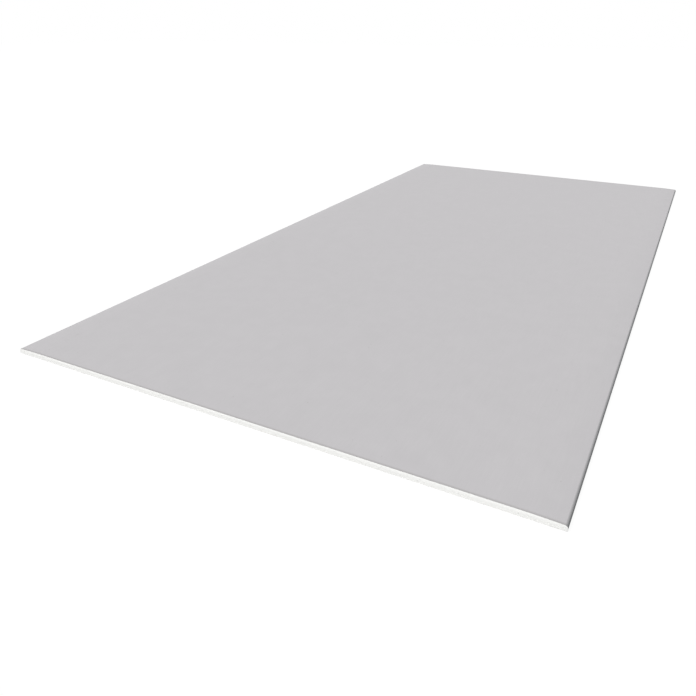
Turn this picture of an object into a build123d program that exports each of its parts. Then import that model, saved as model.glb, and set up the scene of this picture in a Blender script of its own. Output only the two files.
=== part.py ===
"""Drywall sheet, lying face up: a gypsum core between a face paper, folded round both long edges, and a back paper.

X runs across the sheet, Y along it and Z up through it. The origin is at the middle of the underside.
The whole sheet is one section carried along Y. Both ends are cut square, so they show the core between its papers.
"""

import os
from math import atan2, tan

from build123d import *

# Driving dimensions, in millimetres
SHEET_LENGTH = 2438.4  # 8 ft, along Y
SHEET_WIDTH = 1219.2  # 4 ft, along X
SHEET_THICKNESS = 12.7  # 1/2 in, along Z
FACE_PAPER_THICKNESS = 0.45
BACK_PAPER_THICKNESS = 0.4
TAPER_WIDTH = 50.0  # from the long edge to where the face turns level
TAPER_DEPTH = 1.5  # how far the face falls before its rounded edge
TAPER_BLEND = 12.0  # length either side of the taper's start over which the face eases into it
FACE_EDGE_RADIUS = 5.5  # the core's rounding under the face fold
BACK_EDGE_RADIUS = 1.1  # the core's rounding under the back fold
FLAP_WIDTH = 28.0  # face paper turned under the back, from the long edge
BACK_PAPER_SETBACK = 12.0  # bare flap left between the long edge and the back paper
LARGEST_ROUNDED_SHARE = 0.9  # share of a thin edge that its two roundings may take

# Places that follow from them
HALF_WIDTH = SHEET_WIDTH / 2
FLAP_GAP = SHEET_WIDTH - 2 * FLAP_WIDTH  # between the two flaps' inner ends
CORE_SIDE = HALF_WIDTH - FACE_PAPER_THICKNESS
CORE_TOP = SHEET_THICKNESS - FACE_PAPER_THICKNESS
CORE_EDGE_TOP = CORE_TOP - TAPER_DEPTH
CORE_EDGE_FOOT = BACK_PAPER_THICKNESS + FACE_PAPER_THICKNESS


def rounded(outline, places, radius):
    """The outline with the corners at these places, and at their mirror images across the sheet, rounded."""
    wanted = [(side * x, z) for x, z in places for side in (-1, 1)]
    corners = [outline.vertices().sort_by_distance(place)[0] for place in wanted]
    return fillet(corners, radius)


def wrapped_core_outline():
    """What the face paper is folded round: flat underneath, tapered and rounded along both long edges."""
    face_corner = (CORE_SIDE, CORE_EDGE_TOP)
    back_corner = (CORE_SIDE, CORE_EDGE_FOOT)
    taper_start = (HALF_WIDTH - TAPER_WIDTH, CORE_TOP)
    right_side = [back_corner, face_corner, taper_start]
    left_side = [(-x, z) for x, z in reversed(right_side)]
    outline = make_face(Polyline(*right_side, *left_side, close=True))

    edge_height = CORE_EDGE_TOP - CORE_EDGE_FOOT
    both_radii = FACE_EDGE_RADIUS + BACK_EDGE_RADIUS
    fitting = min(1, LARGEST_ROUNDED_SHARE * edge_height / both_radii)
    taper_angle = atan2(TAPER_DEPTH, face_corner[0] - taper_start[0])
    outline = rounded(outline, [face_corner], FACE_EDGE_RADIUS * fitting)
    outline = rounded(outline, [back_corner], BACK_EDGE_RADIUS * fitting)
    return rounded(outline, [taper_start], TAPER_BLEND / tan(taper_angle / 2))


def strip(width, foot, thickness):
    """A level strip of the section, centred on the sheet."""
    return Pos(0, foot + thickness / 2) * Rectangle(width, thickness)


def along_the_sheet(section):
    """A section, drawn across the sheet, carried from end to end."""
    return extrude(Plane.XZ * section, SHEET_LENGTH / 2, both=True)


# The core fills the wrap and, between the flaps, goes down to the back paper
core_outline = wrapped_core_outline()
core_between_flaps = strip(FLAP_GAP, BACK_PAPER_THICKNESS, FACE_PAPER_THICKNESS)
core_section = core_outline + core_between_flaps

# One sheet of face paper covers the face, turns down both long edges and ends in a flap under each
face_paper_section = offset(core_outline, FACE_PAPER_THICKNESS) - core_outline - core_between_flaps

# The back paper is laid over both flaps and stops short of the long edges
back_paper_section = strip(SHEET_WIDTH - 2 * BACK_PAPER_SETBACK, 0, BACK_PAPER_THICKNESS)

pieces = {
    "gypsum_core": along_the_sheet(core_section),
    "face_paper": along_the_sheet(face_paper_section),
    "back_paper": along_the_sheet(back_paper_section),
}

os.makedirs("parts", exist_ok=True)
for name, piece in pieces.items():
    export_step(piece, f"parts/{name}.step")
    print(name, "volume", round(piece.volume), "box", piece.bounding_box().size)
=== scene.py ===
# %% [markdown]
# A drywall sheet, lying face up
#
# A drywall sheet is gypsum plaster, set between two sheets of paper. The face paper is folded round
# both long edges, and the back paper is laid over its two flaps. The ends are cut square, so they show
# the plaster.
#
# The sheet comes already modelled, at its real size. What is left to make is the camera, the light, and
# how the three layers look: two grades of paper, and a core that was full of foam when it set.

# %% Load the sheet
from math import atan2, degrees, pi, radians, tan

import bpy
from mathutils import Euler, Matrix, Vector


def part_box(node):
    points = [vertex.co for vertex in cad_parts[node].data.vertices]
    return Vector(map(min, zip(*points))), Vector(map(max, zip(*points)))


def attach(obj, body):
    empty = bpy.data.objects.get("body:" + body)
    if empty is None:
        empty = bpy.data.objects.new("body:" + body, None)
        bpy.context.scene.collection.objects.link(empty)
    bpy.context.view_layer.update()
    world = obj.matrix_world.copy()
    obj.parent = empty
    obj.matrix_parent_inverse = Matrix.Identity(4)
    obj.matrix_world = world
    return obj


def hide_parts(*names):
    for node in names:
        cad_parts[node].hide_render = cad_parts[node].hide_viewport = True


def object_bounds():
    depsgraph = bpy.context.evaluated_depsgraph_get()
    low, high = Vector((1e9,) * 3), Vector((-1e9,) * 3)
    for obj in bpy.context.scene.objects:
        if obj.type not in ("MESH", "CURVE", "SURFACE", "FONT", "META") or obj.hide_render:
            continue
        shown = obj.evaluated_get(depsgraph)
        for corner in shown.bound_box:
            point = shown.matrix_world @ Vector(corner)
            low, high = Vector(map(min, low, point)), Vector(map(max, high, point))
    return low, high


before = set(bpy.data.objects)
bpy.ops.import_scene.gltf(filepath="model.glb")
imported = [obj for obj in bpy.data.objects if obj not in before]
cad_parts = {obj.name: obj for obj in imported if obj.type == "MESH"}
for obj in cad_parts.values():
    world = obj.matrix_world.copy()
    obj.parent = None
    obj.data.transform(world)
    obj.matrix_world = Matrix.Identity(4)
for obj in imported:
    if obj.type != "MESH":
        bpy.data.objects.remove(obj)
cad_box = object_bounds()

MM = 0.001  # one millimetre, in the scene's metres
scene = bpy.context.scene
scene.view_settings.view_transform = "Standard"
sheet_low, sheet_high = cad_box
sheet_length = sheet_high.y - sheet_low.y
print("sheet, in mm:", [round(side / MM, 1) for side in sheet_high - sheet_low])

# %% [markdown]
# The camera
#
# The sheet's outline in the photograph, with its known length and width, fixes where the camera stood:
# off the near right corner, at about the height of a table, looking down the length of the sheet. How
# fast the long edges run together gives the lens. A camera is often aimed with a Track To constraint.
# Here the turn, the tilt and a trace of lean are measured, so they go straight into its rotation.

# %% Place the camera
EYE = Vector((658.0, -2010.4, 674.5)) * MM
TURN_LEFT = radians(27.946)
TILT_DOWN = radians(27.025)
LEAN_LEFT = radians(0.206)
SENSOR_WIDTH = 36.0  # mm
LENS = 32.966  # mm, on that sensor

level_aim = Euler((radians(90) - TILT_DOWN, 0, TURN_LEFT)).to_matrix()
camera = bpy.data.objects.new("camera", bpy.data.cameras.new("camera"))
camera.data.sensor_width = SENSOR_WIDTH
camera.data.lens = LENS
camera.location = EYE
camera.rotation_euler = (level_aim @ Matrix.Rotation(LEAN_LEFT, 3, "Z")).to_euler()
scene.collection.objects.link(camera)
scene.camera = camera
sheet_middle = (sheet_low + sheet_high) / 2
print("the camera stands", round((EYE - sheet_middle).length, 2), "m from the middle of the sheet")

# %% [markdown]
# Helpers for nodes and colours
#
# Every finish and every shape below is a tree of nodes. Each node could be added, set and wired line by
# line, but those lines would come up a hundred times. So one function does it. It fills a node's inputs
# with values, with wires from other nodes, or with lists of wires, and hands back the node's outputs,
# ready for the next one. A second function turns a colour, as a paint program writes it, into the linear
# light that a render is calculated in.

# %% Make the helpers
def add_node(tree, kind, inputs=None, **options):
    """Adds a node with its settings, fills its inputs with values or wires, and gives its outputs."""
    node = tree.nodes.new(kind)
    for name, value in options.items():
        setattr(node, name, value)
    for name, value in (inputs or {}).items():
        for one in value if isinstance(value, list) else [value]:
            if isinstance(one, bpy.types.NodeSocket):
                tree.links.new(one, node.inputs[name])
            else:
                node.inputs[name].default_value = one
    return node.outputs


def linear(colour):
    """The linear RGBA of a colour written as #RRGGBB, by the curve of the sRGB standard."""
    shares = [int(colour[start : start + 2], 16) / 255 for start in (1, 3, 5)]
    light = [share / 12.92 if share <= 0.04045 else ((share + 0.055) / 1.055) ** 2.4 for share in shares]
    return (*light, 1.0)


WHITE = linear("#FFFFFF")
print("white is", WHITE, "and mid grey", [round(share, 3) for share in linear("#808080")])

# %% [markdown]
# The floor's paint
#
# The sheet lies in a white studio. A white floor would throw a lot of light back onto the right long
# edge, which is dark in the photograph. So the floor has two faces: rays that show it, straight,
# mirrored or through glass, find it white, and rays that only carry light find it grey. Most of that
# white is a glow. A small share is plain paint, which keeps the soft shadow that shows the sheet lying
# on something.

# %% Mix the floor's paint
FLOOR_GREY = "#AAAAAA"  # what sends light back onto the sheet
PAINT_SHARE = 0.06  # of the white, this much is paint and takes a shadow
GLOW_SHARE = 0.95  # and this much glows. Together they are just past white, where no shadow falls


def new_material(name):
    """A new material and its tree, which is still empty."""
    material = bpy.data.materials.new(name)
    material.use_nodes = True
    material.node_tree.nodes.clear()
    return material, material.node_tree


def seen_by_eye(tree):
    """1 for rays that show a thing, straight, mirrored or through glass, and 0 for all other rays."""
    ray = add_node(tree, "ShaderNodeLightPath")
    seen = ray["Is Camera Ray"]
    for kind in ("Is Glossy Ray", "Is Transmission Ray"):
        seen = add_node(tree, "ShaderNodeMath", {0: seen, 1: ray[kind]}, operation="MAXIMUM")[0]
    return seen


def matt_floor_paint():
    # Matt emulsion on a studio floor: white to look at, and grey to the light that bounces off it
    material, tree = new_material("matt_floor_paint")
    bounced = add_node(tree, "ShaderNodeBsdfDiffuse", {"Color": linear(FLOOR_GREY)})[0]
    faint_white = (PAINT_SHARE, PAINT_SHARE, PAINT_SHARE, 1.0)
    shaded = add_node(tree, "ShaderNodeBsdfDiffuse", {"Color": faint_white})[0]
    glow = add_node(tree, "ShaderNodeEmission", {"Color": WHITE, "Strength": GLOW_SHARE})[0]
    shown = add_node(tree, "ShaderNodeAddShader", {0: shaded, 1: glow})[0]
    paint = add_node(tree, "ShaderNodeMixShader", {0: seen_by_eye(tree), 1: bounced, 2: shown})[0]
    add_node(tree, "ShaderNodeOutputMaterial", {"Surface": paint})
    print(material.name, "has", len(tree.nodes), "nodes")
    return material


floor_paint = matt_floor_paint()

# %% [markdown]
# The floor
#
# The floor is one face, far wider than the view, at the height of the sheet's underside. A Plane from
# the Add menu would do as well, but four corners are written down just as fast.

# %% Lay the floor
FLOOR_REACH = 20.0  # metres from the middle to each side

reach = (-FLOOR_REACH, FLOOR_REACH)
floor_mesh = bpy.data.meshes.new("floor")
floor_mesh.from_pydata([(x, y, sheet_low.z) for x in reach for y in reach], [], [(0, 2, 3, 1)])
floor_mesh.materials.append(floor_paint)
floor = bpy.data.objects.new("floor", floor_mesh)
scene.collection.objects.link(floor)
print("the floor is", 2 * FLOOR_REACH, "m wide, and faces", floor_mesh.polygons[0].normal)

# %% [markdown]
# The light
#
# One broad lamp stands in front of the near end, to the left. It brightens the face and the cut end,
# and the right long edge turns away from it into the dark. An area lamp would fade along 2.4 m of
# sheet, so this is a sun lamp, which doesn't. Its angle is about forty times the real sun's, which
# makes it as soft as a large cloth box. The sky fills in the rest: white to look at, and far dimmer
# as a light. Together they are set so that a colour on the face renders about as it is written.

# %% Set the lamp and the sky
KEY_FROM = Vector((-0.5, -0.95, 1.0))  # where the lamp stands, seen from the sheet
KEY_STRENGTH = 3.34  # watts on each square metre that faces the lamp
KEY_ANGLE = radians(20)
SKY_STRENGTH = 0.26  # a sky of strength 1 is white

key_lamp = bpy.data.objects.new("key_lamp", bpy.data.lights.new("key_lamp", "SUN"))
key_lamp.data.energy = KEY_STRENGTH
key_lamp.data.angle = KEY_ANGLE
key_lamp.rotation_euler = KEY_FROM.to_track_quat("Z", "Y").to_euler()
scene.collection.objects.link(key_lamp)

scene.world = bpy.data.worlds.new("studio")
scene.world.use_nodes = True
studio = scene.world.node_tree
studio.nodes.clear()
sky = add_node(studio, "ShaderNodeBackground", {"Color": WHITE, "Strength": SKY_STRENGTH})[0]
backdrop = add_node(studio, "ShaderNodeBackground", {"Color": WHITE, "Strength": 1.0})[0]
around = add_node(studio, "ShaderNodeMixShader", {0: seen_by_eye(studio), 1: sky, 2: backdrop})[0]
add_node(studio, "ShaderNodeOutputWorld", {"Surface": around})
lamp_tilt = KEY_FROM.angle(Vector((0, 0, 1)))
print("the lamp stands", round(90 - degrees(lamp_tilt)), "degrees above the floor")

# %% [markdown]
# What the finishes share
#
# Paper and plaster are both dry and dull, so all three finishes are built alike. Masks lay thin colours
# over a ground colour, and one fine pattern drives both the roughness and the relief, because a fibre
# that stands up is also a rough one. The patterns follow Object coordinates: they are in metres, and
# stay put on the sheet. A painted image could do the same, but for 3 square metres of sheet it would
# have to be very large.

# %% Make the helpers for finishes
MATT_SPECULAR = 0.2  # a loose, dry surface mirrors less than a polished one of the same stuff
FULL_SPECULAR = 0.5  # the shader's own value, with which the IOR alone decides
MIX_MASK, MIX_UNDER, MIX_OVER, MIX_RESULT = 0, 6, 7, 2  # a Mix node's colour sockets: names repeat


def layered(tree, ground, layers):
    """Lays colours over a ground colour, in turn. Each layer is a mask from 0 to 1, and a colour."""
    result = linear(ground)
    for mask, colour in layers:
        layer = {MIX_MASK: mask, MIX_UNDER: result, MIX_OVER: linear(colour)}
        result = add_node(tree, "ShaderNodeMix", layer, data_type="RGBA")[MIX_RESULT]
    return result


def dull_surface(material, colour, grain, relief, smoothest, ior):
    """Finishes a material. Its roughness, from smoothest to 1, and its relief follow the grain."""
    tree = material.node_tree
    roughness = add_node(tree, "ShaderNodeMapRange", {"Value": grain, "To Min": smoothest})["Result"]
    raised = add_node(tree, "ShaderNodeBump", {"Height": grain, "Distance": relief})["Normal"]
    surface = add_node(tree, "ShaderNodeBsdfPrincipled", {
        "Base Color": colour,
        "Roughness": roughness,
        "Normal": raised,
        "IOR": ior,
        "Specular IOR Level": MATT_SPECULAR,
    })[0]
    add_node(tree, "ShaderNodeOutputMaterial", {"Surface": surface})
    print(material.name, "has", len(tree.nodes), "nodes")


print("a dry surface mirrors", MATT_SPECULAR / FULL_SPECULAR, "of what its IOR alone would give")

# %% [markdown]
# Clouds and fibres
#
# Paper fibres settle in clouds, and most of them lie along the way the paper ran through the machine,
# which is along the sheet. Both could be scanned from real paper. Noise gives the same look with no
# image: as it is for the clouds, and drawn out along the sheet for the fibres. Noise keeps to the middle
# of its range, so the sum of the two is spread out again.

# %% Draw the fibres
NOISE_LOW, NOISE_HIGH = 0.3, 0.7  # noise seldom leaves this range


def fibres(tree, place, cloud, length, width):
    """From 0 to 1: clouds where the fibres lie thick, and streaks of fibre along the sheet."""
    clouds = add_node(tree, "ShaderNodeTexNoise", {"Vector": place, "Scale": 1 / cloud})["Fac"]
    along = {"Vector": place, "Scale": (1, width / length, 1)}
    drawn_out = add_node(tree, "ShaderNodeMapping", along)[0]
    streaks = add_node(tree, "ShaderNodeTexNoise", {"Vector": drawn_out, "Scale": 1 / width})["Fac"]
    both = add_node(tree, "ShaderNodeMath", {0: clouds, 1: streaks}, operation="ADD")[0]
    usual = {"Value": both, "From Min": 2 * NOISE_LOW, "From Max": 2 * NOISE_HIGH}
    return add_node(tree, "ShaderNodeMapRange", usual)["Result"]


print("fibre noise is spread from", (NOISE_LOW, NOISE_HIGH), "to (0, 1)")

# %% [markdown]
# Specks
#
# Waste paper leaves specks, and the plaster has scraps of fibre in it. They could be scattered as tiny
# discs, but there would be thousands, and none is thick enough to be worth it. A Voronoi texture divides
# space into cells, each with a point in it and a colour of its own. A spot round the point is a speck,
# and the colour works as a lot, which decides the cells that have one, and how large it is.

# %% Draw the specks
SPECK_HEART = 0.5  # of a speck's radius. From here outwards it fades


def specks(tree, place, spacing, largest, share, dimensions):
    """1 in a speck, and 0 beside it. This share of the cells has one, up to the largest radius."""
    cells = {"Vector": place, "Scale": 1 / spacing}
    cell = add_node(tree, "ShaderNodeTexVoronoi", cells, voronoi_dimensions=dimensions)
    lot = add_node(tree, "ShaderNodeSeparateColor", {"Color": cell["Color"]})["Red"]
    apart = add_node(tree, "ShaderNodeMath", {0: cell["Distance"], 1: lot}, operation="DIVIDE")[0]
    rim = largest / spacing / share
    fade = {"Value": apart, "From Min": rim, "From Max": rim * SPECK_HEART}
    spot = add_node(tree, "ShaderNodeMapRange", fade)["Result"]
    taken = add_node(tree, "ShaderNodeMath", {0: lot, 1: share}, operation="LESS_THAN")[0]
    return add_node(tree, "ShaderNodeMath", {0: spot, 1: taken}, operation="MULTIPLY")[0]


print("a speck fades over the outer", 1 - SPECK_HEART, "of its radius")

# %% [markdown]
# How far in a place is
#
# What happens to a sheet in a stack happens to its ends and edges, so the finishes ask how far in from
# those a place is. A weight painted on the mesh could tell, but the sheet is a rectangle round its own
# middle, so a subtraction is enough. A place with no distance left to the end is on the cut itself,
# where the knife leaves patches of plaster dust on the paper.

# %% Measure from the ends and edges
CUT_SKIN = 0.02 * MM  # a place this close to the end is on the cut
DUST_PATCH = 3 * MM  # from one patch of dust to the next


def inwards(tree, place):
    """How far a place is from the nearest cut end, and from the nearest long edge."""
    mirrored = add_node(tree, "ShaderNodeVectorMath", {0: place}, operation="ABSOLUTE")[0]
    to_side = {0: sheet_high, 1: mirrored}
    left_over = add_node(tree, "ShaderNodeVectorMath", to_side, operation="SUBTRACT")[0]
    sides = add_node(tree, "ShaderNodeSeparateXYZ", {0: left_over})
    return sides["Y"], sides["X"]


def cut_dust(tree, place, from_end):
    """From 0 to 1, in patches, on the cut itself, and 0 elsewhere."""
    patches = add_node(tree, "ShaderNodeTexNoise", {"Vector": place, "Scale": 1 / DUST_PATCH})["Fac"]
    on_cut = add_node(tree, "ShaderNodeMath", {0: from_end, 1: CUT_SKIN}, operation="LESS_THAN")[0]
    return add_node(tree, "ShaderNodeMath", {0: patches, 1: on_cut}, operation="MULTIPLY")[0]


print("the cuts are the last", CUT_SKIN / MM, "mm before", round(sheet_high.y / MM, 1), "mm")

# %% [markdown]
# The face paper's finish
#
# The face paper is grey liner board, made of waste paper and pressed smooth between steel rolls. From a
# step away it is one even, dull grey. Closer up the eye finds soft clouds, fine lines along the sheet
# and a stray speck. Hands, straps and other sheets have rubbed its ends a little darker. Its folded
# edges are darker and cooler: partly rubbed, and partly painted shade. One mottled noise could stand
# for all of it. Here each is a thin layer with a mask of its own, so that each can be made stronger
# alone.

# %% Mix the face paper
FACE_CLOUD = 40 * MM  # real ones are about 5 mm: drawn larger, so that they show in the render
FACE_FIBRE_LENGTH = 60 * MM  # real fibres are 2 mm long, and too fine to see: these are many in a row
FACE_FIBRE_WIDTH = 3 * MM
FACE_RELIEF = 0.05 * MM  # how far the fibres stand up
FACE_SMOOTHEST = 0.75  # the lowest roughness, between the fibres
FACE_SPECK_SPACING = 70 * MM
FACE_LARGEST_SPECK = 1.5 * MM  # radius. Real specks are half as large: drawn larger, so that they show
FACE_SPECK_SHARE = 0.3
END_SOIL_REACH = 6 * MM  # how far in from a cut end the soil fades out
EDGE_SOIL_AND_SHADE_REACH = 5 * MM  # and from a long edge, where the rubbed soil and the painted shade fade out
PAPER_IOR = 1.5
PLASTER_DUST = "#EEEEEC"


def calendered_liner_paper():
    # Pressed between steel rolls: even and dull from a step away, with clouds and fibre lines close up
    material, tree = new_material("calendered_grey_liner_paper")
    place = add_node(tree, "ShaderNodeTexCoord")["Object"]
    tone = fibres(tree, place, FACE_CLOUD, FACE_FIBRE_LENGTH, FACE_FIBRE_WIDTH)
    speck = specks(tree, place, FACE_SPECK_SPACING, FACE_LARGEST_SPECK, FACE_SPECK_SHARE, "2D")
    from_end, from_edge = inwards(tree, place)
    near_end = {"Value": from_end, "From Min": END_SOIL_REACH, "From Max": 0.0}
    near_edge = {"Value": from_edge, "From Min": EDGE_SOIL_AND_SHADE_REACH, "From Max": 0.0}
    end_soil = add_node(tree, "ShaderNodeMapRange", near_end)["Result"]
    edge_soil_and_shade = add_node(tree, "ShaderNodeMapRange", near_edge)["Result"]
    dust = cut_dust(tree, place, from_end)
    colour = layered(tree, "#C4C2C4", [
        (tone, "#C8C6C8"),
        (speck, "#B4B2B1"),
        (end_soil, "#AEACAC"),
        # the folded edges: rubbed soil, with painted shade in how dark and cool it is
        (edge_soil_and_shade, "#A2A4A5"),
        (dust, PLASTER_DUST),
    ])
    dull_surface(material, colour, tone, FACE_RELIEF, FACE_SMOOTHEST, PAPER_IOR)
    return material


face_liner = calendered_liner_paper()

# %% [markdown]
# The plaster's finish
#
# The core is gypsum plaster, beaten up with foam so that a whole sheet can be carried, and cut when it
# was dry. It is the whitest and dullest thing here. The slurry next to the face paper has less foam in
# it, so the cut is whitest up there. The grey lower down is partly the foamier plaster and partly
# painted shade of its pores. Its crystals make a fine grain, and scraps of fibre, which hold it
# together, make faint specks. The foam's bubbles could be relief in the finish, as the grain and the
# pinholes are, but the larger ones catch real shadows, so they are modelled below.

# %% Mix the plaster
GRAIN_SIZE = 0.8 * MM  # real crystals are under 0.05 mm: drawn coarser, so that they show
GRAIN_RELIEF = 0.1 * MM
GRAIN_SHARE = 0.15  # how much of the change in tone is grain, and the rest is the rise to the face
WHITER_DEPTH = 6.5 * MM  # how far below the face paper that rise starts
PINHOLE_SPACING = 1.1 * MM  # real pinholes are finer and closer: drawn coarser, so that they show
PINHOLE_RADIUS = 0.35 * MM
SCRAP_SPACING = 8 * MM
LARGEST_SCRAP = 0.9 * MM  # radius
SCRAP_SHARE = 0.5
PLASTER_SMOOTHEST = 0.85
GYPSUM_IOR = 1.52
core_low, core_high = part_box("gypsum_core")


def cut_foamed_plaster():
    # Foamed plaster, cut dry: almost white and quite dull, with a fine grain and pinholes close up
    material, tree = new_material("cut_foamed_gypsum_plaster")
    place = add_node(tree, "ShaderNodeTexCoord")["Object"]
    crystals = add_node(tree, "ShaderNodeTexNoise", {"Vector": place, "Scale": 1 / GRAIN_SIZE})["Fac"]
    pinholes = {"Vector": place, "Scale": 1 / PINHOLE_SPACING}
    to_pinhole = add_node(tree, "ShaderNodeTexVoronoi", pinholes)["Distance"]
    rim = {"Value": to_pinhole, "From Max": PINHOLE_RADIUS / PINHOLE_SPACING}
    standing = add_node(tree, "ShaderNodeMapRange", rim)["Result"]
    grain = add_node(tree, "ShaderNodeMath", {0: crystals, 1: standing}, operation="MULTIPLY")[0]
    height = add_node(tree, "ShaderNodeSeparateXYZ", {0: place})["Z"]
    rise = add_node(tree, "ShaderNodeMapRange", {
        "Value": height,
        "From Min": core_high.z - WHITER_DEPTH,
        "From Max": core_high.z,
        "To Max": 1 - GRAIN_SHARE,
    })["Result"]
    shares = {0: grain, 1: GRAIN_SHARE, 2: rise}
    tone = add_node(tree, "ShaderNodeMath", shares, operation="MULTIPLY_ADD")[0]
    scrap = specks(tree, place, SCRAP_SPACING, LARGEST_SCRAP, SCRAP_SHARE, "3D")
    # greyer ground, whiter towards the face: denser slurry up there, and painted shade of the pores
    # below
    colour = layered(tree, "#EAEAE8", [(tone, "#FBFBF9"), (scrap, "#D6D4CF")])
    dull_surface(material, colour, grain, GRAIN_RELIEF, PLASTER_SMOOTHEST, GYPSUM_IOR)
    return material


plaster = cut_foamed_plaster()

# %% [markdown]
# The back paper's finish
#
# The back of a sheet is never painted, so its paper is the cheaper grade: unbleached, brownish grey,
# and not pressed as smooth. Its clouds are stronger than on the face, and the waste that it is made of
# shows as dark flecks. It could share the face paper's function, but that one's soil would have to be
# switched off, so it is a recipe of its own, from the same patterns. Only its cut ends show while the
# sheet lies on it.

# %% Mix the back paper
BACK_CLOUD = 25 * MM  # drawn larger than real ones, as on the face
BACK_FIBRE_LENGTH = 30 * MM  # drawn longer and wider than real fibres, so that they show
BACK_FIBRE_WIDTH = 2 * MM
BACK_RELIEF = 0.08 * MM
BACK_SMOOTHEST = 0.85
FLECK_SPACING = 11 * MM
LARGEST_FLECK = 1.2 * MM  # radius. Larger than most real ones, so that they show
FLECK_SHARE = 0.6


def unbleached_liner_paper():
    # Unbleached and hardly pressed: brownish grey, cloudy and flecked, and rougher than the face
    material, tree = new_material("unbleached_recycled_liner_paper")
    place = add_node(tree, "ShaderNodeTexCoord")["Object"]
    tone = fibres(tree, place, BACK_CLOUD, BACK_FIBRE_LENGTH, BACK_FIBRE_WIDTH)
    fleck = specks(tree, place, FLECK_SPACING, LARGEST_FLECK, FLECK_SHARE, "2D")
    from_end = inwards(tree, place)[0]
    dust = cut_dust(tree, place, from_end)
    colour = layered(tree, "#ABA69E", [(tone, "#BBB6AF"), (fleck, "#8F887E"), (dust, PLASTER_DUST)])
    dull_surface(material, colour, tone, BACK_RELIEF, BACK_SMOOTHEST, PAPER_IOR)
    return material


back_liner = unbleached_liner_paper()

# %% [markdown]
# The section
#
# The sheet is one section, carried from end to end. Its corners are the core's, because the paper is
# folded round them. The boxes of the layers give most of their places. The rest is the taper, which
# leaves room for the joint tape, and the roundings. A rounding could be drawn as many short steps, but
# a corner with its radius beside it is enough: the nodes below do the rounding.

# %% Set out the section's corners
TAPER_WIDTH = 50.0 * MM
TAPER_DEPTH = 1.5 * MM
TAPER_BLEND = 12.0 * MM  # the face eases into the taper over this length, to either side
FACE_FOLD_RADIUS = 5.5 * MM
BACK_FOLD_RADIUS = 1.1 * MM
FLAP_WIDTH = 28.0 * MM

face_paper_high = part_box("face_paper")[1]
paper_thickness = face_paper_high.x - core_high.x
taper_angle = atan2(TAPER_DEPTH, TAPER_WIDTH - paper_thickness)
blend_radius = TAPER_BLEND / tan(taper_angle / 2)
flap_top = core_low.z + paper_thickness
flap_end = face_paper_high.x - FLAP_WIDTH

right_corners = [
    (face_paper_high.x - TAPER_WIDTH, core_high.z, blend_radius),
    (core_high.x, core_high.z - TAPER_DEPTH, FACE_FOLD_RADIUS),
    (core_high.x, flap_top, BACK_FOLD_RADIUS),
    (flap_end, flap_top, 0),
]
left_corners = [(-across, up, radius) for across, up, radius in reversed(right_corners)]
wrap_corners = left_corners + right_corners
core_corners = [(-flap_end, core_low.z, 0), *wrap_corners, (flap_end, core_low.z, 0)]
print("the paper is", round(paper_thickness / MM, 2), "mm thick")
print("the taper falls by", round(degrees(taper_angle), 2), "degrees")

# %% [markdown]
# Two drawn lines
#
# A mesh can be a bare line, with no faces. So each section is drawn flat, as points and edges, and the
# radius of each corner is kept on its point as an attribute, which is a named list of numbers that
# nodes can read. A curve object could hold the line too, but it has no such list of its own. The paper
# starts as an open line, and the core as a closed one.

# %% Draw both sections
def drawn_section(name, corners, closed):
    """An object with a line through the section's corners, drawn flat. Each corner keeps its radius."""
    count = len(corners)
    edges = [(corner, (corner + 1) % count) for corner in range(count if closed else count - 1)]
    mesh = bpy.data.meshes.new(name)
    mesh.from_pydata([(across, up, 0) for across, up, radius in corners], edges, [])
    radii = mesh.attributes.new("corner_radius", "FLOAT", "POINT")
    radii.data.foreach_set("value", [radius for across, up, radius in corners])
    section = bpy.data.objects.new(name, mesh)
    scene.collection.objects.link(section)
    print(name, "starts as", len(edges), "straight edges")
    return section


face_paper = drawn_section("folded_face_paper", wrap_corners, closed=False)
core = drawn_section("foamed_gypsum_core", core_corners, closed=True)

# %% [markdown]
# The face paper, bent
#
# One sheet of paper covers the face, turns down both long edges and ends in a flap under each. It could
# be bent from a plane by modifiers. Geometry Nodes suit it better, because its shape follows one rule,
# a line with rounded corners that is carried along, and every size in that rule is an input with a
# name. The tree starts with the rounding. That branch is a function, because the core needs it too.

# %% Round the paper's corners
def new_tree(name, inputs):
    """An empty geometry tree with a section and these named inputs, and what its input node gives."""
    tree = bpy.data.node_groups.new(name, "GeometryNodeTree")
    tree.interface.new_socket("Section", in_out="INPUT", socket_type="NodeSocketGeometry")
    for label, kind in inputs.items():
        tree.interface.new_socket(label, in_out="INPUT", socket_type=kind)
    tree.interface.new_socket("Piece", in_out="OUTPUT", socket_type="NodeSocketGeometry")
    return tree, add_node(tree, "NodeGroupInput")


def rounded_line(tree, given):
    """The section's line, with each corner rounded by its own radius, which is then thrown away."""
    line = add_node(tree, "GeometryNodeMeshToCurve", {"Mesh": given["Section"]})[0]
    radius = add_node(tree, "GeometryNodeInputNamedAttribute", {"Name": "corner_radius"})[0]
    fillet = {"Curve": line, "Radius": radius, "Count": given["Fold Steps"], "Limit Radius": True}
    bent = add_node(tree, "GeometryNodeFilletCurve", fillet, mode="POLY")[0]
    return add_node(tree, "GeometryNodeRemoveAttribute", {"Geometry": bent, "Name": "corner_radius"})[0]


folding, fold = new_tree("fold_paper", {
    "Length": "NodeSocketFloat",
    "Thickness": "NodeSocketFloat",
    "Fold Steps": "NodeSocketInt",
    "Material": "NodeSocketMaterial",
})
bend = rounded_line(folding, fold)
print(folding.name, "has", len(folding.nodes), "nodes for its corners")

# %% [markdown]
# The face paper, made solid
#
# A line that is carried along is a skin with no thickness. A Solidify modifier could thicken it. In the
# tree, Extrude Mesh grows it outwards by the paper's thickness, but leaves the inside open, so the skin
# itself, turned over, closes it. All this happens upright, on the flat drawing, and the solid is then
# laid down along the sheet.

# %% Make the paper solid
SEAM = 0.005 * MM  # points closer than this are one
LYING_DOWN = (radians(90), 0, 0)


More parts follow.
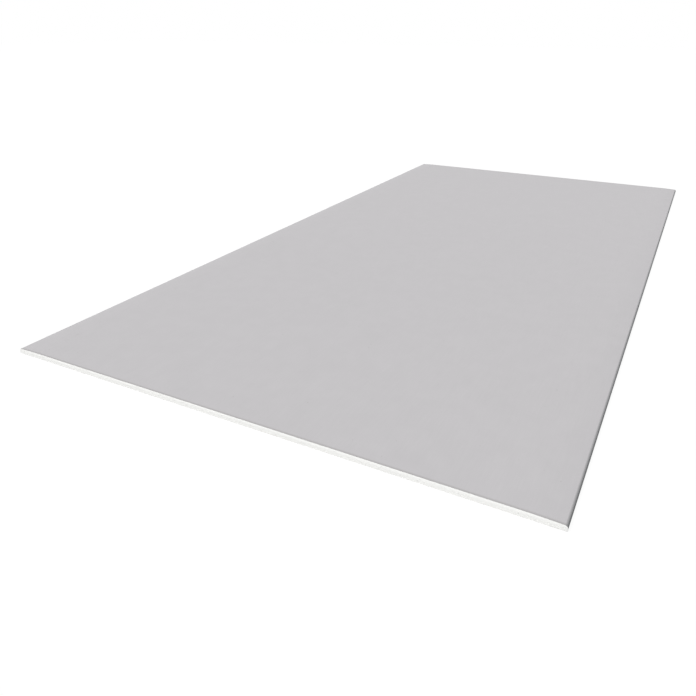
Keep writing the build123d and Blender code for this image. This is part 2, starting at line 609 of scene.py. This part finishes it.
def grown_solid(tree, skin, distance):
    """A closed solid between a skin and its copy, moved along the skin's normals."""
    growth = {"Mesh": skin, "Offset Scale": distance, "Individual": False}
    grown = add_node(tree, "GeometryNodeExtrudeMesh", growth, mode="FACES")["Mesh"]
    base = add_node(tree, "GeometryNodeFlipFaces", {"Mesh": skin})[0]
    parts = add_node(tree, "GeometryNodeJoinGeometry", {0: [grown, base]})[0]
    return add_node(tree, "GeometryNodeMergeByDistance", {"Geometry": parts, "Distance": SEAM})[0]


def laid_along(tree, geometry, length):
    """What stands up from the flat section, moved half its length back and laid down along the sheet."""
    half_back = add_node(tree, "ShaderNodeMath", {0: length, 1: -2.0}, operation="DIVIDE")[0]
    shift = add_node(tree, "ShaderNodeCombineXYZ", {"Z": half_back})[0]
    centred = add_node(tree, "GeometryNodeTransform", {"Geometry": geometry, "Translation": shift})[0]
    return add_node(tree, "GeometryNodeTransform", {"Geometry": centred, "Rotation": LYING_DOWN})[0]


line = add_node(folding, "GeometryNodeCurveToMesh", {"Curve": bend})[0]
run = add_node(folding, "ShaderNodeCombineXYZ", {"Z": fold["Length"]})[0]
skin = add_node(folding, "GeometryNodeExtrudeMesh", {"Mesh": line, "Offset": run}, mode="EDGES")["Mesh"]
paper = laid_along(folding, grown_solid(folding, skin, fold["Thickness"]), fold["Length"])
print(folding.name, "has", len(folding.nodes), "nodes for its solid")

# %% [markdown]
# From a tree to a plain mesh
#
# A tree hangs on an object as a modifier, which works its shape out anew each time. What is kept here
# is the result: every tree ends by making its copies real and giving them a material, and then the
# finished shape is read off once and becomes the object's own mesh. Set Material leaves an empty slot
# in front of its own, which is taken out. Edges sharper than 30 degrees are marked, so that a smooth
# fold and a square cut can be next to each other.

# %% Make the helpers that end a tree and keep its result
SHARP_ANGLE = radians(30)


def end_tree(tree, geometry, material):
    """Every tree ends the same way: what it made becomes one real mesh with one material."""
    real = add_node(tree, "GeometryNodeRealizeInstances", {"Geometry": geometry})[0]
    finished = add_node(tree, "GeometryNodeSetMaterial", {"Geometry": real, "Material": material})[0]
    add_node(tree, "NodeGroupOutput", {"Piece": finished})
    print(tree.name, "is done, with", len(tree.nodes), "nodes")


def keep_result(piece, tree, values):
    """Runs a tree on a piece with these values, and keeps what it makes as the piece's plain mesh."""
    modifier = piece.modifiers.new(tree.name, "NODES")
    modifier.node_group = tree
    for item in tree.interface.items_tree:
        if item.name in values:
            modifier[item.identifier] = values[item.name]
    evaluated = piece.evaluated_get(bpy.context.evaluated_depsgraph_get())
    mesh = bpy.data.meshes.new_from_object(evaluated)
    piece.modifiers.clear()
    piece.data = mesh
    mesh.materials.pop(index=0)
    mesh.set_sharp_from_angle(angle=SHARP_ANGLE)
    triangles = sum(len(face.vertices) - 2 for face in mesh.polygons)
    print(piece.name, "has", triangles, "triangles and is", piece.dimensions / MM, "mm large")


end_tree(folding, paper, fold["Material"])

# %% [markdown]
# The face paper's own numbers
#
# The sizes could stand in the tree itself, but then it would fit this one sheet only. As inputs, they
# leave the tree a recipe, which gets its sizes here and runs once. The new paper then rides on the
# sheet's one body, and stands for the plain paper of the loaded model, which is hidden.

# %% Fold the face paper
FOLD_STEPS = 14  # points on each rounded corner

keep_result(face_paper, folding, {
    "Length": sheet_length,
    "Thickness": paper_thickness,
    "Fold Steps": FOLD_STEPS,
    "Material": face_liner,
})
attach(face_paper, "root")
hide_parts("face_paper")

# %% [markdown]
# The plaster core
#
# The foam leaves bubbles all through the core, and each cut end opens hundreds of them. Displacement
# could dent the ends, but only a cut gives a bubble its rim and its overhang. So the core starts as a
# solid block, and points are scattered over both of its ends, no closer to each other than a set
# spacing. Balls at those points are then taken away from it.

# %% Scatter points over the cut ends
END_FACING = 0.5  # a face whose normal lies along the sheet by more than this is a cut end
POINTS_PER_SQUARE_METRE = 4e6  # more than there is room for, so that the spacing decides

foaming, foam = new_tree("foam_core", {
    "Length": "NodeSocketFloat",
    "Fold Steps": "NodeSocketInt",
    "Bubble Spacing": "NodeSocketFloat",
    "Smallest Bubble": "NodeSocketFloat",
    "Largest Bubble": "NodeSocketFloat",
    "Dense Skin": "NodeSocketFloat",
    "Seed": "NodeSocketInt",
    "Material": "NodeSocketMaterial",
})
outline = rounded_line(foaming, foam)
cap = add_node(foaming, "GeometryNodeFillCurve", {"Curve": outline}, mode="NGONS")[0]
block = laid_along(foaming, grown_solid(foaming, cap, foam["Length"]), foam["Length"])
normal = add_node(foaming, "GeometryNodeInputNormal")["Normal"]
lengthwise = add_node(foaming, "ShaderNodeSeparateXYZ", {0: normal})["Y"]
facing = add_node(foaming, "ShaderNodeMath", {0: lengthwise}, operation="ABSOLUTE")[0]
square_on = {0: facing, 1: END_FACING}
is_end = add_node(foaming, "FunctionNodeCompare", square_on, operation="GREATER_THAN")[0]
parted = {"Geometry": block, "Selection": is_end}
ends, sides = add_node(foaming, "GeometryNodeSeparateGeometry", parted, domain="FACE")
scatter = add_node(foaming, "GeometryNodeDistributePointsOnFaces", {
    "Mesh": ends,
    "Distance Min": foam["Bubble Spacing"],
    "Density Max": POINTS_PER_SQUARE_METRE,
    "Seed": foam["Seed"],
}, distribute_method="POISSON")
print(foaming.name, "has", len(foaming.nodes), "nodes for its block and its points")

# %% [markdown]
# How large each bubble is
#
# Bubbles of one size would look drilled. So each radius is drawn at random, and then held to the room
# that it has: the slurry next to the paper is rolled on dense, so bubbles shrink towards it and end a
# little short of it. The radius is stored on its point, because the nodes after this move the points,
# and the room would be measured again from their new places. Points with no room for a bubble are
# dropped.

# %% Size the bubbles
LEAST, MOST, DRAWN = 2, 3, 1  # a Random Value node's sockets for plain numbers: names repeat

limits = {LEAST: foam["Smallest Bubble"], MOST: foam["Largest Bubble"], "Seed": foam["Seed"]}
wanted = add_node(foaming, "FunctionNodeRandomValue", limits, data_type="FLOAT")[DRAWN]
to_side = add_node(foaming, "GeometryNodeProximity", {"Geometry": sides})["Distance"]
room = add_node(foaming, "ShaderNodeMath", {0: to_side, 1: foam["Dense Skin"]}, operation="SUBTRACT")[0]
fitting = add_node(foaming, "ShaderNodeMath", {0: wanted, 1: room}, operation="MINIMUM")[0]
noted = {"Geometry": scatter["Points"], "Name": "bubble_radius", "Value": fitting}
sized = add_node(foaming, "GeometryNodeStoreNamedAttribute", noted)[0]
radius = add_node(foaming, "GeometryNodeInputNamedAttribute", {"Name": "bubble_radius"})[0]
too_small = {0: radius, 1: foam["Smallest Bubble"]}
cramped = add_node(foaming, "FunctionNodeCompare", too_small, operation="LESS_THAN")[0]
roomy = add_node(foaming, "GeometryNodeDeleteGeometry", {"Geometry": sized, "Selection": cramped})[0]
print(foaming.name, "has", len(foaming.nodes), "nodes with the bubbles' sizes")

# %% [markdown]
# Cutting the bubbles out
#
# A knife opens some bubbles near their middle and only grazes others, so each ball is sunk or raised by
# a random share of its radius. It is turned at random too, because rows of balls that all point the
# same way would meet the flat end in the same needle-thin faces. The Exact solver could cut them out,
# but slowly. The Manifold solver is the fastest, and asks only for closed shapes, which these are.

# %% Sink, turn and cut the bubbles
DEEPEST, HIGHEST = -0.7, 0.55  # a bubble's middle, below and above the cut, in radii
DEPTH_SEED, TURN_SEED = 1, 2
MOST_TURN, TURN_DRAWN = 1, 0  # the Random Value node's sockets for vectors
FULL_TURN = (2 * pi, 2 * pi, 2 * pi)
BALL_SUBDIVISIONS = 2  # 80 faces, which is round enough for so small a hole

depths = {LEAST: DEEPEST, MOST: HIGHEST, "Seed": DEPTH_SEED}
depth = add_node(foaming, "FunctionNodeRandomValue", depths, data_type="FLOAT")[DRAWN]
rise = add_node(foaming, "ShaderNodeMath", {0: depth, 1: radius}, operation="MULTIPLY")[0]
outwards = {0: scatter["Normal"], "Scale": rise}
shift = add_node(foaming, "ShaderNodeVectorMath", outwards, operation="SCALE")[0]
centres = add_node(foaming, "GeometryNodeSetPosition", {"Geometry": roomy, "Offset": shift})[0]
turns = {MOST_TURN: FULL_TURN, "Seed": TURN_SEED}
turn = add_node(foaming, "FunctionNodeRandomValue", turns, data_type="FLOAT_VECTOR")[TURN_DRAWN]
ball = add_node(foaming, "GeometryNodeMeshIcoSphere", {"Subdivisions": BALL_SUBDIVISIONS})["Mesh"]
copies = {"Points": centres, "Instance": ball, "Rotation": turn, "Scale": radius}
bubbles = add_node(foaming, "GeometryNodeInstanceOnPoints", copies)[0]
solids = {0: block, 1: bubbles}
opened = add_node(
    foaming, "GeometryNodeMeshBoolean", solids, operation="DIFFERENCE", solver="MANIFOLD"
)["Mesh"]
end_tree(foaming, opened, foam["Material"])

# %% [markdown]
# The core's own numbers
#
# The core's tree gets its sizes and runs once, too, and the core takes its place as the paper did. Real
# bubbles are closer together and finer. These are as coarse as they need to be to show in a close look.

# %% Foam the core
BUBBLE_SPACING = 2.9 * MM
SMALLEST_BUBBLE = 0.25 * MM  # radius
LARGEST_BUBBLE = 0.9 * MM
DENSE_SKIN = 0.5 * MM
BUBBLE_SEED = 7

keep_result(core, foaming, {
    "Length": sheet_length,
    "Fold Steps": FOLD_STEPS,
    "Bubble Spacing": BUBBLE_SPACING,
    "Smallest Bubble": SMALLEST_BUBBLE,
    "Largest Bubble": LARGEST_BUBBLE,
    "Dense Skin": DENSE_SKIN,
    "Seed": BUBBLE_SEED,
    "Material": plaster,
})
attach(core, "root")
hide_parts("gypsum_core")

# %% [markdown]
# The back paper
#
# The back paper is a flat sheet, cut straight, and the loaded model already has it so. It could be made
# anew like the other two layers, but that would change nothing. It keeps its shape and gets its finish.

# %% Finish the back paper
back_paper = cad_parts["back_paper"]
back_paper.material_slots[0].material = back_liner
print("the back paper has", len(back_paper.data.polygons), "triangles, and is", back_liner.name)
